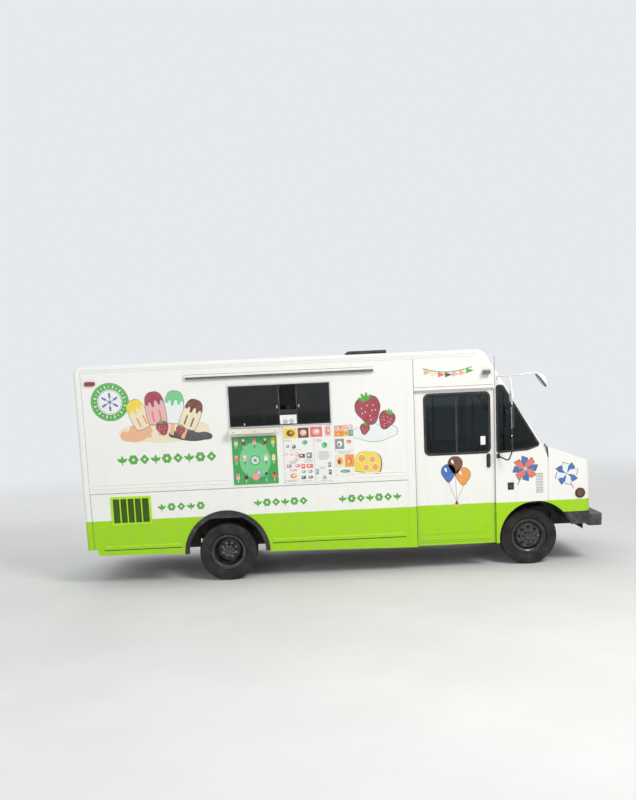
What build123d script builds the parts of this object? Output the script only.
"""Ice cream truck: a walk-in step van with a serving window, twin rear wheels and sliding cab doors.

Millimetres. X runs forward, Y to the left, Z up. The origin is on the ground, midway along the length.
The serving side is the right side, at negative Y.
"""
import os

from math import cos, radians, sin, sqrt, tan

from build123d import *

os.makedirs("parts", exist_ok=True)

# Driving sizes of the whole vehicle
wheelbase = 3988
front_overhang = 939
rear_overhang = 1836
half_width = 1150
roof_z = 2850
wall = 30
body_edge_radius = 40

front_end = (wheelbase + front_overhang + rear_overhang) / 2
rear_end = -front_end
front_axle_x = front_end - front_overhang
rear_axle_x = rear_end + rear_overhang
inner_half = half_width - wall

# Clearances
seat_gap = 0.3
panel_gap = 5
running_gap = 0.05
knuckle_gap = 0.5

# Heights of the body lines
skirt_bottom_front_z = 335
skirt_bottom_rear_z = 415
rear_post_bottom_z = 490
belt_z = 1240
roof_seam_z = 2759
floor_top_z = 800
floor_thickness = 40
bearer_height = 60

# Cab front, measured forward from the front axle
cowl_x = front_axle_x + 214
cab_seam_x = front_axle_x - 464
glass_foot_x = front_axle_x + 156
glass_foot_z = 1585
glass_rake = 31
front_top_radius = 175
rear_top_radius = 90
hinge_stand = 10
rear_skin_x = rear_end + hinge_stand
rear_seam_x = rear_end + 100

# Wheels
tyre_radius = 375
tyre_width = 215
bead_radius = 213
rim_half = 79.4
axle_z = tyre_radius
kingpin_y = 760
kingpin_radius = 18
front_wheel_y = 862
twin_pitch = 245
rear_wheel_y = 877.5
front_spindle_radius = 30
rear_spindle_radius = 45

# Wheel arches
front_arch_x = front_axle_x + 56
front_arch_z = 390
front_arch_radius = 480
rear_arch_z = 380
rear_arch_radius = 540
liner = 6
front_liner_y = 525
rear_liner_y = 620

# Sliding doors
door_rear_x = front_axle_x - 1498
door_front_x = front_axle_x - 482
door_top_z = 2350
door_overlap = 18
door_gap = 12
door_thickness = 32
door_outer = inner_half - door_gap
door_inner = door_outer - door_thickness
door_travel = 900

# Ladder frame
rail_outer = 465
rail_width = 70
rail_height = 180
rail_sheet = 7
rail_top_z = floor_top_z - floor_thickness - bearer_height
rail_bottom_z = rail_top_z - rail_height
spring_y = rail_outer - rail_width / 2
spring_width = 64


def block(x, y, z, mode=Mode.ADD):
    """A block between three pairs of limits."""
    with Locations(((x[0] + x[1]) / 2, (y[0] + y[1]) / 2, (z[0] + z[1]) / 2)):
        Box(abs(x[1] - x[0]), abs(y[1] - y[0]), abs(z[1] - z[0]), mode=mode)


def rod(start, end, radius, mode=Mode.ADD):
    """A round bar between two points."""
    line = Vector(*end) - Vector(*start)
    with Locations(Plane(origin=start, z_dir=line)):
        Cylinder(radius, line.length, align=(Align.CENTER, Align.CENTER, Align.MIN), mode=mode)


def save(piece, name):
    """Label a finished piece and write it."""
    piece.part.label = name
    export_step(piece.part, f"parts/{name}.step")


def mirrored(piece):
    """The same piece on the other side of the vehicle."""
    with BuildPart() as other:
        mirror(piece.part, about=Plane.XZ)
    return other


def body_form(inset):
    """The closed form of the body, drawn in by inset, running down past the skirts."""
    slope = tan(radians(glass_rake))
    ground_z = -100
    nose_x = glass_foot_x + (glass_foot_z - ground_z) * slope
    brow_x = glass_foot_x - (roof_z - glass_foot_z) * slope
    with BuildPart(mode=Mode.PRIVATE) as form:
        with BuildSketch(Plane.XZ) as side:
            with BuildLine():
                Polyline(
                    (rear_skin_x, ground_z),
                    (rear_skin_x, roof_z),
                    (brow_x, roof_z),
                    (nose_x, ground_z),
                    close=True,
                )
            make_face()
            fillet(side.vertices().group_by(Axis.Y)[-1].sort_by(Axis.X)[0], rear_top_radius)
            fillet(side.vertices().sort_by(Axis.Y)[-1], front_top_radius)
            if inset:
                offset(amount=-inset, mode=Mode.REPLACE)
        extrude(amount=half_width - inset, both=True)
        side_faces = form.faces().filter_by(Axis.Y)
        rim = side_faces.edges().filter_by(lambda edge: edge.bounding_box().max.Z > 0)
        fillet(rim, body_edge_radius - inset)
        block(
            (cowl_x - inset, nose_x + 100),
            (-2 * half_width, 2 * half_width),
            (-200, roof_z),
            Mode.SUBTRACT,
        )
    return form.part


outer_form = body_form(0)
inner_form = body_form(wall)
glass_plane = Plane(
    origin=(glass_foot_x, 0, glass_foot_z),
    x_dir=(0, 1, 0),
    z_dir=(cos(radians(glass_rake)), 0, sin(radians(glass_rake))),
)

# Roof with its bead rails and hatch hole
hatch_rear_x = rear_axle_x + 1699
hatch_length = 537
hatch_width = 540
hatch_rim = 30
hatch_x = (hatch_rear_x, hatch_rear_x + hatch_length)
roof_bead_radius = 6
roof_bows = 9
bow_span = (rear_seam_x + 250, cab_seam_x - 340)
with BuildPart() as roof:
    add(outer_form)
    add(inner_form, mode=Mode.SUBTRACT)
    block((rear_seam_x, cowl_x), (-half_width, half_width), (roof_seam_z, roof_z + 1), Mode.INTERSECT)
    block(
        (hatch_x[0] + hatch_rim, hatch_x[1] - hatch_rim),
        (-hatch_width / 2 + hatch_rim, hatch_width / 2 - hatch_rim),
        (roof_z - 2 * wall, roof_z + 1),
        Mode.SUBTRACT,
    )
    bead_end_x = glass_foot_x - (roof_z - glass_foot_z) * tan(radians(glass_rake)) - front_top_radius / 2
    for side in (-1, 1):
        for bead_z in (roof_seam_z + 10, roof_seam_z + 30, roof_seam_z + 50):
            rod(
                (rear_seam_x, side * half_width, bead_z),
                (bead_end_x, side * half_width, bead_z),
                roof_bead_radius,
            )
    for bow in range(roof_bows):
        bow_x = bow_span[0] + bow * (bow_span[1] - bow_span[0]) / (roof_bows - 1)
        if bow_x < hatch_x[0] - 30 or bow_x > hatch_x[1] + 30:
            block((bow_x - 15, bow_x + 15), (-half_width + 60, half_width - 60), (roof_z - 1, roof_z + 4))
save(roof, "roof")

# Serving window opening, measured forward from the rear axle
window_x = (rear_axle_x + 111, rear_axle_x + 1427)
window_z = (1990, 2535)
window_gap_x = (rear_axle_x + 771, rear_axle_x + 981)
window_flange = 22
window_sleeve = 10
belt_front_x = door_rear_x - 102
seam_groove = 3
upper_z = (belt_z + 8, roof_seam_z)

# Upper side walls: the long panel, the strip behind the door and the panel over the door
track_depth = 40
track_z = (door_top_z + 18, door_top_z + 80)
track_lip = 6
track_slot = (12, 28)
track_x = (door_rear_x - door_overlap - door_travel - 60, cab_seam_x)
track_sheet = 4
roller_radius = 15
roller_z = track_z[0] + track_lip + seat_gap + roller_radius
with BuildPart() as wall_space:
    block((rear_seam_x, cab_seam_x), (-half_width, -inner_half), upper_z)
    block((belt_front_x, door_rear_x), (-half_width, -inner_half), (skirt_bottom_front_z, belt_z + 8))
with BuildPart() as right_wall:
    add(outer_form)
    add(inner_form, mode=Mode.SUBTRACT)
    add(wall_space.part, mode=Mode.INTERSECT)
    block((door_rear_x, cab_seam_x), (-half_width, -inner_half), (0, door_top_z), Mode.SUBTRACT)
    for groove_x in (belt_front_x, door_rear_x):
        block(
            (groove_x - seam_groove, groove_x),
            (-half_width, -half_width + seam_groove),
            (belt_z, roof_seam_z),
            Mode.SUBTRACT,
        )
    block(track_x, (-inner_half, -inner_half + track_depth), (track_z[1] - track_sheet, track_z[1]))
    block(track_x, (-inner_half + track_depth - track_sheet, -inner_half + track_depth), track_z)
    block(track_x, (-inner_half, -inner_half + track_slot[0]), (track_z[0], track_z[0] + track_lip))
    block(
        track_x,
        (-inner_half + track_slot[1], -inner_half + track_depth),
        (track_z[0], track_z[0] + track_lip),
    )
left_wall = mirrored(right_wall)
with right_wall:
    block(
        (window_x[0] + window_sleeve, window_x[1] - window_sleeve),
        (-half_width - 1, -inner_half + 1),
        (window_z[0] + window_sleeve, window_z[1] - window_sleeve),
        Mode.SUBTRACT,
    )
save(right_wall, "right_wall")
save(left_wall, "left_wall")

# Lower skirts with the rear arch, belt rail, rub rails and the vent opening
skirt_inset = 4
vent_x = (rear_axle_x - 1480, rear_axle_x - 958)
vent_z = (805, 1177)
vent_frame = 30
skirt_tail_x = rear_end + 140
rub_rails = [
    (rear_axle_x - 1609, rear_axle_x - rear_arch_radius - 45),
    (rear_axle_x + rear_arch_radius + 45, belt_front_x - 40),
]
rub_z = (486, 546)
with BuildPart() as right_skirt:
    with BuildSketch(Plane.XZ.offset(inner_half)):
        with BuildLine():
            Polyline(
                (rear_seam_x, rear_post_bottom_z),
                (skirt_tail_x, rear_post_bottom_z),
                (skirt_tail_x + 16, skirt_bottom_rear_z),
                (belt_front_x, skirt_bottom_front_z),
                (belt_front_x, belt_z + 8),
                (rear_seam_x, belt_z + 8),
                close=True,
            )
        make_face()
        with Locations((rear_axle_x, rear_arch_z)):
            Circle(rear_arch_radius, mode=Mode.SUBTRACT)
    extrude(amount=wall - skirt_inset)
    with BuildSketch(Plane.XZ.offset(half_width - skirt_inset)):
        with Locations(((rear_seam_x + belt_front_x) / 2, belt_z - 4)):
            Rectangle(belt_front_x - rear_seam_x, 24)
    extrude(amount=12, taper=25)
    for rail_start, rail_end in rub_rails:
        with BuildSketch(Plane.XZ.offset(half_width - skirt_inset)):
            with Locations(((rail_start + rail_end) / 2, (rub_z[0] + rub_z[1]) / 2)):
                RectangleRounded(rail_end - rail_start, rub_z[1] - rub_z[0], 12)
        extrude(amount=6, taper=20)
left_skirt = mirrored(right_skirt)
with right_skirt:
    block(
        (vent_x[0] + vent_frame, vent_x[1] - vent_frame),
        (-half_width, -inner_half),
        (vent_z[0] + vent_frame, vent_z[1] - vent_frame),
        Mode.SUBTRACT,
    )
save(right_skirt, "right_skirt")
save(left_skirt, "left_skirt")

# Vent grille: a framed panel of upright bars over mesh rails
vent_long = vent_x[1] - vent_x[0]
vent_tall = vent_z[1] - vent_z[0]
vent_bars = 21
with BuildPart() as vent_grille:
    with BuildSketch(Plane.XZ.offset(half_width - skirt_inset)):
        with Locations(((vent_x[0] + vent_x[1]) / 2, (vent_z[0] + vent_z[1]) / 2)):
            Rectangle(vent_long, vent_tall)
            Rectangle(vent_long - 2 * vent_frame - 2, vent_tall - 2 * vent_frame - 2, mode=Mode.SUBTRACT)
    extrude(amount=9)
    for bar in range(vent_bars):
        bar_x = vent_x[0] + vent_frame + 12 + bar * (vent_long - 2 * vent_frame - 24) / (vent_bars - 1)
        bar_width = 14 if bar % 5 == 0 else 5
        block(
            (bar_x - bar_width / 2, bar_x + bar_width / 2),
            (-half_width + skirt_inset, -half_width + skirt_inset - 7),
            (vent_z[0] + vent_frame, vent_z[1] - vent_frame),
        )
    for cross in (1, 2):
        cross_z = vent_z[0] + cross * vent_tall / 3
        block(
            (vent_x[0] + vent_frame, vent_x[1] - vent_frame),
            (-half_width + skirt_inset, -half_width + skirt_inset - 4),
            (cross_z - 4, cross_z + 4),
        )
save(vent_grille, "vent_grille")

# Black rubber flares round the rear arches, set on the skirt's edge
flare_radius = 500
with BuildPart() as wheel_flares:
    for side in (-1, 1):
        flare_plane = Plane(
            origin=(rear_axle_x, side * inner_half, rear_arch_z), x_dir=(1, 0, 0), z_dir=(0, side, 0)
        )
        with BuildSketch(flare_plane):
            Circle(rear_arch_radius - seat_gap)
            Circle(flare_radius, mode=Mode.SUBTRACT)
        extrude(amount=wall + 8)
        with BuildSketch(flare_plane.offset(wall - skirt_inset + seat_gap)):
            Circle(rear_arch_radius + 18)
            Circle(rear_arch_radius - 5, mode=Mode.SUBTRACT)
        extrude(amount=7)
    block((rear_end, front_end), (-2 * half_width, 2 * half_width), (-400, rear_arch_z + 5), Mode.SUBTRACT)
save(wheel_flares, "wheel_flares")

# Rear frame: rounded posts, header and the panel under the doors
rear_door_half = 730
rear_door_z = (floor_top_z + 3, 2580)
rear_hinge_zs = (1000, 1690, 2380)
rear_hinge_length = 90
rear_hinge_radius = 10
hinge_clear = 1
lamp_hole_radius = 52
tail_lamps = [(-990, 900), (-990, 1040), (990, 900), (990, 1040)]
plate_y = 430
plate_z = 640
plate_holes = (177.8, 120.65)
plate_hole_radius = 3.5


def rear_hinge(side, z, radius, length, mode=Mode.ADD):
    """A length of the rear door hinge line centred on the height z."""
    axis_y = side * (rear_door_half - panel_gap / 2)
    rod((rear_skin_x, axis_y, z - length / 2), (rear_skin_x, axis_y, z + length / 2), radius, mode)


with BuildPart() as rear_frame:
    add(outer_form)
    add(inner_form, mode=Mode.SUBTRACT)
    block((rear_end, rear_seam_x), (-half_width, half_width), (rear_post_bottom_z, roof_z), Mode.INTERSECT)
    block((rear_end, rear_seam_x), (-rear_door_half, rear_door_half), rear_door_z, Mode.SUBTRACT)
    for lamp_y, lamp_z in tail_lamps:
        rod((rear_end, lamp_y, lamp_z), (rear_seam_x, lamp_y, lamp_z), lamp_hole_radius, Mode.SUBTRACT)
    for side in (-1, 1):
        for hinge_z in rear_hinge_zs:
            rear_hinge(
                side,
                hinge_z,
                rear_hinge_radius + hinge_clear,
                rear_hinge_length + 2 * knuckle_gap,
                Mode.SUBTRACT,
            )
            for end in (-1, 1):
                rear_hinge(
                    side,
                    hinge_z + end * (rear_hinge_length / 2 + knuckle_gap + 15),
                    rear_hinge_radius,
                    30 - 2 * knuckle_gap,
                )
    with Locations(Plane(origin=(rear_skin_x, plate_y, plate_z), x_dir=(0, 1, 0), z_dir=(-1, 0, 0))):
        with GridLocations(plate_holes[0], plate_holes[1], 2, 2):
            Hole(plate_hole_radius, depth=wall + 1)
save(rear_frame, "rear_frame")

# Rear doors with rounded window openings and a raised lower panel
rear_door_outer_y = rear_door_half - panel_gap
rear_door_inner_y = 3
rear_window = (190, 540, 1640, 2330)
rear_window_wide = rear_window[1] - rear_window[0]
rear_window_tall = rear_window[3] - rear_window[2]
rear_glass_radius = 60
with BuildPart() as rear_door_right:
    block(
        (rear_skin_x, rear_skin_x + wall),
        (-rear_door_outer_y, -rear_door_inner_y),
        (rear_door_z[0] + panel_gap, rear_door_z[1] - panel_gap),
    )
    rear_door_plane = Plane(origin=(rear_skin_x, 0, 0), x_dir=(0, -1, 0), z_dir=(-1, 0, 0))
    with BuildSketch(rear_door_plane):
        with Locations(((rear_window[0] + rear_window[1]) / 2, (rear_window[2] + rear_window[3]) / 2)):
            RectangleRounded(rear_window_wide, rear_window_tall, rear_glass_radius)
    extrude(amount=-wall, mode=Mode.SUBTRACT)
    with BuildSketch(rear_door_plane):
        with Locations(((rear_door_outer_y + rear_door_inner_y) / 2, 1180)):
            RectangleRounded(rear_door_outer_y - rear_door_inner_y - 160, 480, 20)
    extrude(amount=5, taper=30)
    for hinge_z in rear_hinge_zs:
        rear_hinge(-1, hinge_z, rear_hinge_radius, rear_hinge_length)
        for end in (-1, 1):
            rear_hinge(
                -1,
                hinge_z + end * (rear_hinge_length / 2 + knuckle_gap + 15),
                rear_hinge_radius + hinge_clear,
                30,
                Mode.SUBTRACT,
            )
rear_door_left = mirrored(rear_door_right)
with rear_door_left:
    block((rear_skin_x - 4, rear_skin_x), (rear_door_inner_y + 15, rear_door_inner_y + 75), (1430, 1560))
    block((rear_skin_x - 9, rear_skin_x), (rear_door_inner_y + 30, rear_door_inner_y + 60), (1445, 1545))
save(rear_door_right, "rear_door_right")
save(rear_door_left, "rear_door_left")
for side, name in ((-1, "right"), (1, "left")):
    with BuildPart() as rear_glass:
        with BuildSketch(Plane.YZ.offset(rear_skin_x + wall / 2 - 3)):
            window_y = side * (rear_window[0] + rear_window[1]) / 2
            with Locations((window_y, (rear_window[2] + rear_window[3]) / 2)):
                RectangleRounded(
                    rear_window_wide - 2 * seat_gap,
                    rear_window_tall - 2 * seat_gap,
                    rear_glass_radius - seat_gap,
                )
        extrude(amount=6)
    save(rear_glass, f"rear_glass_{name}")

# Cab front: cowl sides with quarter windows, windshield frame, header and firewall
screen_foot = 45
screen_top = 985
screen_half = 1062
screen_post = 40
screen_radius = 55
quarter_outline = [
    (front_axle_x - 434, 2370),
    (front_axle_x - 434, 1534),
    (front_axle_x - 51, 1554),
    (front_axle_x + 92, 1604),
    (front_axle_x - 368, 2370),
]
quarter_radius = 22
firewall_bottom_z = floor_top_z - floor_thickness
cowl_top_z = glass_foot_z - 7
cowl_corner_z = glass_foot_z - (cowl_x - glass_foot_x) / tan(radians(glass_rake))
engine_bay_half = 390
engine_bay_top_z = 1140
hood_half = 770
hood_hinge_x = cowl_x + 4
hood_hinge_z = 1580
hood_hinge_radius = 9


def arch_cut(x, z, radius, mode=Mode.SUBTRACT):
    """A wheel arch cut right through the vehicle."""
    rod((x, -2 * half_width, z), (x, 2 * half_width, z), radius, mode)


def hood_knuckle(y, length, radius, mode=Mode.ADD):
    """A length of the hood hinge line centred on y."""
    start = (hood_hinge_x, y - length / 2, hood_hinge_z)
    rod(start, (hood_hinge_x, y + length / 2, hood_hinge_z), radius, mode)


with BuildPart() as cab_space:
    block((cab_seam_x, cowl_x), (-half_width, half_width), (skirt_bottom_front_z, roof_seam_z))
    block((cab_seam_x - 150, cowl_x), (-inner_half, inner_half), (2300, roof_seam_z))
with BuildPart() as cab_front:
    add(outer_form)
    add(inner_form, mode=Mode.SUBTRACT)
    add(cab_space.part, mode=Mode.INTERSECT)
    with BuildSketch(Plane.XZ):
        with BuildLine():
            Polyline(
                (glass_foot_x - 8, glass_foot_z - 4),
                (glass_foot_x, glass_foot_z),
                (cowl_x, cowl_top_z),
                (cowl_x, cowl_corner_z - 10),
                close=True,
            )
        make_face()
    extrude(amount=half_width - body_edge_radius, both=True)
    arch_cut(front_arch_x, front_arch_z, front_arch_radius)
    block((cowl_x - 3 * wall, cowl_x), (-inner_half, inner_half), (0, firewall_bottom_z), Mode.SUBTRACT)
    block(
        (cowl_x - 3 * wall, cowl_x), (-engine_bay_half, engine_bay_half), (0, engine_bay_top_z), Mode.SUBTRACT
    )
    arch_liner_cut = front_arch_radius + liner + seat_gap
    for side in (-1, 1):
        rod(
            (front_arch_x, side * (front_liner_y - liner - seat_gap), front_arch_z),
            (front_arch_x, side * inner_half, front_arch_z),
            arch_liner_cut,
            Mode.SUBTRACT,
        )
        with BuildSketch(glass_plane):
            with Locations((side * (screen_half + screen_post) / 2, (screen_foot + screen_top) / 2)):
                RectangleRounded(screen_half - screen_post, screen_top - screen_foot, screen_radius)
        extrude(amount=-wall * 3, mode=Mode.SUBTRACT)
        with BuildSketch(Plane.XZ.offset(-side * half_width)) as quarter_hole:
            with BuildLine():
                Polyline(*quarter_outline, close=True)
            make_face()
            fillet(quarter_hole.vertices(), quarter_radius)
        extrude(amount=side * wall, mode=Mode.SUBTRACT)
    for slot in range(10):
        slot_z = 990 + slot * 26
        for side in (-1, 1):
            with Locations((front_axle_x + 106, side * half_width, slot_z)):
                Box(84, 8, 10, rotation=(0, 0, 0), mode=Mode.SUBTRACT)
    for knuckle_y in (-500, 500):
        for end in (-1, 1):
            hood_knuckle(knuckle_y + end * 60, 60 - 2 * knuckle_gap, hood_hinge_radius)
        hood_knuckle(knuckle_y, 60, hood_hinge_radius + hinge_clear, Mode.SUBTRACT)
save(cab_front, "cab_front")

# Cab glass: two windshield panes and the two quarter windows
glass_thickness = 6
with BuildPart() as cab_glass:
    for side in (-1, 1):
        with BuildSketch(glass_plane.offset(-wall / 2)):
            with Locations((side * (screen_half + screen_post) / 2, (screen_foot + screen_top) / 2)):
                RectangleRounded(
                    screen_half - screen_post - 2 * seat_gap,
                    screen_top - screen_foot - 2 * seat_gap,
                    screen_radius - seat_gap,
                )
        extrude(amount=glass_thickness)
        with BuildSketch(Plane.XZ.offset(-side * (half_width - wall / 2))) as quarter_pane:
            with BuildLine():
                Polyline(*quarter_outline, close=True)
            make_face()
            fillet(quarter_pane.vertices(), quarter_radius)
            offset(amount=-seat_gap, mode=Mode.REPLACE)
        extrude(amount=glass_thickness)
save(cab_glass, "cab_glass")

# Nose: fenders and front panel, with the hood cut from the same form
nose_half = half_width - 4
nose_front_x = front_axle_x + 780
nose_bottom_z = 711
nose_sheet = 25
nose_rear_x = cowl_x + 3
nose_corner_radius = 130
hood_front_x = front_axle_x + 712
hood_swing = sqrt((hood_front_x - hood_hinge_x) ** 2 + (hood_hinge_z - 1370) ** 2)
nose_outline = [
    (cowl_x - 150, 400),
    (cowl_x - 150, 1745),
    (cowl_x, 1578),
    (front_axle_x + 538, 1445),
    (front_axle_x + 722, 1376),
    (nose_front_x, 1291),
    (nose_front_x, 400),
]
grille_half = 430
grille_z = (830, 1150)
headlamp_y = 660
headlamp_z = 985
headlamp_radius = 92
side_lamp = (front_axle_x + 632, 952)
side_lamp_radius = 48


def nose_form(inset):
    """The form of the nose, drawn in by inset all round."""
    with BuildPart(mode=Mode.PRIVATE) as form:
        with BuildSketch(Plane.XZ) as side_view:
            with BuildLine():
                Polyline(*nose_outline, close=True)
            make_face()
            if inset:
                offset(amount=-inset, kind=Kind.INTERSECTION, mode=Mode.REPLACE)
            else:
                corners = side_view.vertices().filter_by(lambda v: v.X > nose_front_x - 100 and v.Y > 1200)
                fillet(corners, 45)
        extrude(amount=nose_half - inset, both=True)
        with BuildSketch(Plane.XY):
            with Locations(((cowl_x + nose_front_x) / 2 - 100, 0)):
                plan_long = nose_front_x - cowl_x + 200 - 2 * inset
                RectangleRounded(plan_long, 2 * (nose_half - inset), nose_corner_radius - inset)
        extrude(amount=2 * roof_z, mode=Mode.INTERSECT)
    return form.part


nose_outer = nose_form(0)
nose_inner = nose_form(nose_sheet)


def hood_space(half, swing, rear_x):
    """The space the hood fills: as wide as given and reaching a given swing from its hinge."""
    with BuildPart(mode=Mode.PRIVATE) as space:
        rod((hood_hinge_x, -half, hood_hinge_z), (hood_hinge_x, half, hood_hinge_z), swing)
        block((rear_x, front_end), (-half, half), (1180, 1800), Mode.INTERSECT)
    return space.part


hood_opening = hood_space(hood_half + panel_gap, hood_swing + panel_gap + 1, cowl_x)
hood_fill = hood_space(hood_half, hood_swing, nose_rear_x + panel_gap)
with BuildPart() as nose:
    add(nose_outer)
    add(nose_inner, mode=Mode.SUBTRACT)
    block((nose_rear_x, front_end), (-half_width, half_width), (nose_bottom_z, 1800), Mode.INTERSECT)
    add(hood_opening, mode=Mode.SUBTRACT)
    for side in (-1, 1):
        block(
            (nose_rear_x, nose_front_x - nose_sheet),
            (side * (front_liner_y - liner), side * front_liner_y),
            (nose_bottom_z - 40, 1300),
        )
        rod(
            (front_arch_x, side * (front_liner_y - liner), front_arch_z),
            (front_arch_x, side * (nose_half - nose_sheet), front_arch_z),
            front_arch_radius + liner,
        )
    block((rear_end, nose_rear_x), (-half_width, half_width), (-200, 1800), Mode.SUBTRACT)
    block(
        (nose_front_x - nose_sheet, front_end),
        (-half_width, half_width),
        (-200, nose_bottom_z),
        Mode.SUBTRACT,
    )
    block((rear_end, front_end), (-half_width, half_width), (-200, 600), Mode.SUBTRACT)
    for side in (-1, 1):
        rod(
            (front_arch_x, side * front_liner_y, front_arch_z),
            (front_arch_x, side * half_width, front_arch_z),
            front_arch_radius,
            Mode.SUBTRACT,
        )
        rod(
            (front_arch_x, side * (front_liner_y - liner), front_arch_z),
            (front_arch_x, side * front_liner_y, front_arch_z),
            front_arch_radius - 60,
            Mode.SUBTRACT,
        )
        rod(
            (nose_front_x - 40, side * headlamp_y, headlamp_z),
            (nose_front_x, side * headlamp_y, headlamp_z),
            headlamp_radius + 2,
            Mode.SUBTRACT,
        )
    block((nose_front_x - 60, nose_front_x), (-grille_half, grille_half), grille_z, Mode.SUBTRACT)
save(nose, "nose")

with BuildPart() as hood:
    add(nose_outer)
    add(nose_inner, mode=Mode.SUBTRACT)
    add(hood_fill, mode=Mode.INTERSECT)
    for rib_y in (-380, 380):
        with BuildSketch(Plane.XZ.offset(-rib_y)):
            with BuildLine():
                Polyline(
                    (cowl_x + 60, 1553.5),
                    (front_axle_x + 538, 1445),
                    (front_axle_x + 680, 1391.5),
                    (front_axle_x + 665, 1402),
                    (front_axle_x + 540, 1455),
                    (cowl_x + 80, 1553),
                    close=True,
                )
            make_face()
        extrude(amount=20, both=True)
    for knuckle_y in (-500, 500):
        with BuildSketch(Plane.XZ.offset(-knuckle_y)):
            with BuildLine():
                Polyline(
                    (hood_hinge_x, hood_hinge_z - 5),
                    (hood_hinge_x, hood_hinge_z + 5),
                    (nose_rear_x + 30, hood_hinge_z - 16),
                    (nose_rear_x + 30, hood_hinge_z - 34),
                    close=True,
                )
            make_face()
        extrude(amount=30 - knuckle_gap, both=True)
        hood_knuckle(knuckle_y, 60 - 2 * knuckle_gap, hood_hinge_radius)
        for end in (-1, 1):
            hood_knuckle(knuckle_y + end * 60, 60, hood_hinge_radius + hinge_clear, Mode.SUBTRACT)
save(hood, "hood")

# Sliding cab doors, hung by rollers from the track over the opening
door_x = (door_rear_x - door_overlap, door_front_x + door_overlap)
door_z = (skirt_bottom_front_z + 5, door_top_z + 12)
door_window = (front_axle_x - 1364, front_axle_x - 530, 1532, 2300)
door_window_radius = 60
door_divider_x = front_axle_x - 956
handle_x = front_axle_x - 549
handle_z = (1334, 1513)
hanger_xs = (door_x[0] + 120, door_x[1] - 120)
hanger_y = inner_half - (track_slot[0] + track_slot[1]) / 2


def door_window_shape(inset):
    """The door's window outline on the current sketch plane, drawn in by inset."""
    with Locations(((door_window[0] + door_window[1]) / 2, (door_window[2] + door_window[3]) / 2)):
        RectangleRounded(
            door_window[1] - door_window[0] - 2 * inset,
            door_window[3] - door_window[2] - 2 * inset,
            door_window_radius - inset,
        )


with BuildPart() as right_door:
    block(door_x, (-door_outer, -door_inner), door_z)
    with BuildSketch(Plane.XZ.offset(door_inner)):
        door_window_shape(0)
    extrude(amount=door_thickness, mode=Mode.SUBTRACT)
    block(
        (door_divider_x - 12, door_divider_x + 12),
        (-door_inner - 9, -door_inner - 23),
        (door_window[2], door_window[3]),
    )
    with BuildSketch(Plane.XZ.offset(door_outer)):
        with Locations(((door_rear_x + door_front_x) / 2, (rub_z[0] + rub_z[1]) / 2)):
            RectangleRounded(door_front_x - door_rear_x - 120, rub_z[1] - rub_z[0], 12)
    extrude(amount=6, taper=20)
    with BuildSketch(Plane.XZ.offset(door_outer)):
        with Locations((handle_x, (handle_z[0] + handle_z[1]) / 2)):
            SlotOverall(handle_z[1] - handle_z[0], 44, rotation=90)
    extrude(amount=8)
    rod((handle_x, -door_outer - 8, handle_z[0] + 35), (handle_x, -door_outer - 30, handle_z[0] + 35), 9)
    rod((handle_x, -door_outer - 8, handle_z[1] - 35), (handle_x, -door_outer - 30, handle_z[1] - 35), 9)
    rod((handle_x, -door_outer - 30, handle_z[0] + 22), (handle_x, -door_outer - 30, handle_z[1] - 22), 10)
    for hanger_x in hanger_xs:
        block((hanger_x - 25, hanger_x + 25), (-hanger_y - 2, -hanger_y + 2), (door_z[1] - 1, roller_z + 10))
        rod((hanger_x, -hanger_y - 15, roller_z), (hanger_x, -hanger_y + 15, roller_z), 5)
        for end in (-1, 1):
            rod(
                (hanger_x, -hanger_y + end * 9, roller_z),
                (hanger_x, -hanger_y + end * 15, roller_z),
                roller_radius,
            )
left_door = mirrored(right_door)
save(right_door, "right_door")
save(left_door, "left_door")
for side, name in ((-1, "right"), (1, "left")):
    with BuildPart() as door_glass:
        for pane_start, pane_end in (
            (door_window[0] - 1, door_divider_x - 12 - seat_gap),
            (door_divider_x + 12 + seat_gap, door_window[1] + 1),
        ):
            with BuildSketch(Plane.XZ.offset(-side * (door_inner + 13))):
                door_window_shape(seat_gap)
                with Locations(((pane_start + pane_end) / 2, (door_window[2] + door_window[3]) / 2)):
                    Rectangle(pane_end - pane_start, door_window[3] - door_window[2], mode=Mode.INTERSECT)
            extrude(amount=-side * 6)
    save(door_glass, f"door_glass_{name}")

# Serving window: a flanged frame with two posts beside the open gap, and its two panes
frame_depth = 10
with BuildPart() as serving_window:
    block(window_x, (-half_width - frame_depth, -half_width), window_z)
    block(
        (window_x[0] + window_sleeve + seat_gap, window_x[1] - window_sleeve - seat_gap),
        (-half_width, -inner_half + 6),
        (window_z[0] + window_sleeve + seat_gap, window_z[1] - window_sleeve - seat_gap),
    )
    block(
        (window_x[0] + window_flange, window_x[1] - window_flange),
        (-half_width - frame_depth, -inner_half + 6),
        (window_z[0] + window_flange, window_z[1] - window_flange),
        Mode.SUBTRACT,
    )
    for post_x in (window_gap_x[0] - 15, window_gap_x[1]):
        block(
            (post_x, post_x + 15),
            (-half_width - 6, -inner_half),
            (window_z[0] + window_flange, window_z[1] - window_flange),
        )
    block(
        (window_gap_x[0], window_gap_x[1]),
        (-half_width - 6, -half_width + 6),
        (window_z[0] + window_flange, window_z[0] + 141),
    )
save(serving_window, "serving_window")
with BuildPart() as serving_glass:
    for pane_start, pane_end in (
        (window_x[0] + window_flange, window_gap_x[0] - 15),
        (window_gap_x[1] + 15, window_x[1] - window_flange),
    ):
        block(
            (pane_start + seat_gap, pane_end - seat_gap),
            (-half_width + 12, -half_width + 18),
            (window_z[0] + window_flange + seat_gap, window_z[1] - window_flange - seat_gap),
        )
save(serving_glass, "serving_glass")

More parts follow.
